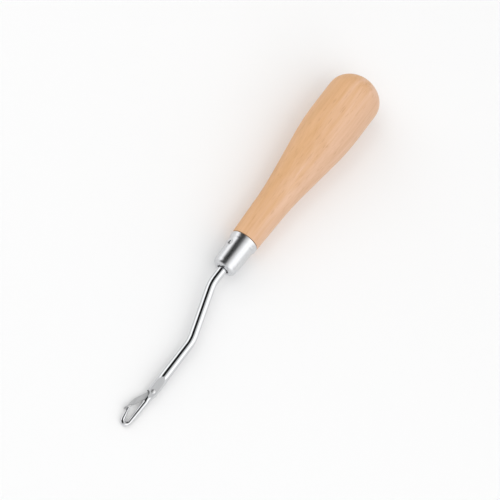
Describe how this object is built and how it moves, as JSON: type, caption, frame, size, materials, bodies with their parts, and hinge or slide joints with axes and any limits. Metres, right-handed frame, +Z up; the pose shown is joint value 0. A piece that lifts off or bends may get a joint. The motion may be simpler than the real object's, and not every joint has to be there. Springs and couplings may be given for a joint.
{
  "type": "latch hook",
  "caption": "Latch hook with a turned wooden handle, a chromed ferrule and a cranked steel shank that ends in a small hook closed by a swinging latch.",
  "frame": {"origin": "middle of the tool's footprint on the surface that it lies on, under the middle of its length", "axes": "+X from the butt to the hook, +Y to the side that the shank is cranked to, +Z up; the hook opens towards -Y"},
  "size_m": [0.1576, 0.02, 0.021],
  "materials": {
    "wood": "pale close-grained hardwood under a thin satin lacquer",
    "chrome": "bright polished plating",
    "steel": "plain stamped steel, dull grey"
  },
  "bodies": {
    "tool": {"handle": "wood", "ferrule": "chrome", "hook": "chrome", "latch_rivet": "steel"},
    "latch": {"latch": "steel"}
  },
  "joints": [
    {"name": "latch_pivot", "type": "hinge", "parent": "tool", "child": "latch", "pos_m": [0.06286, 0.0066, 0.00182], "axis": [-0.0686, 0, -0.9976], "range_deg": [-2, 140]}
  ]
}
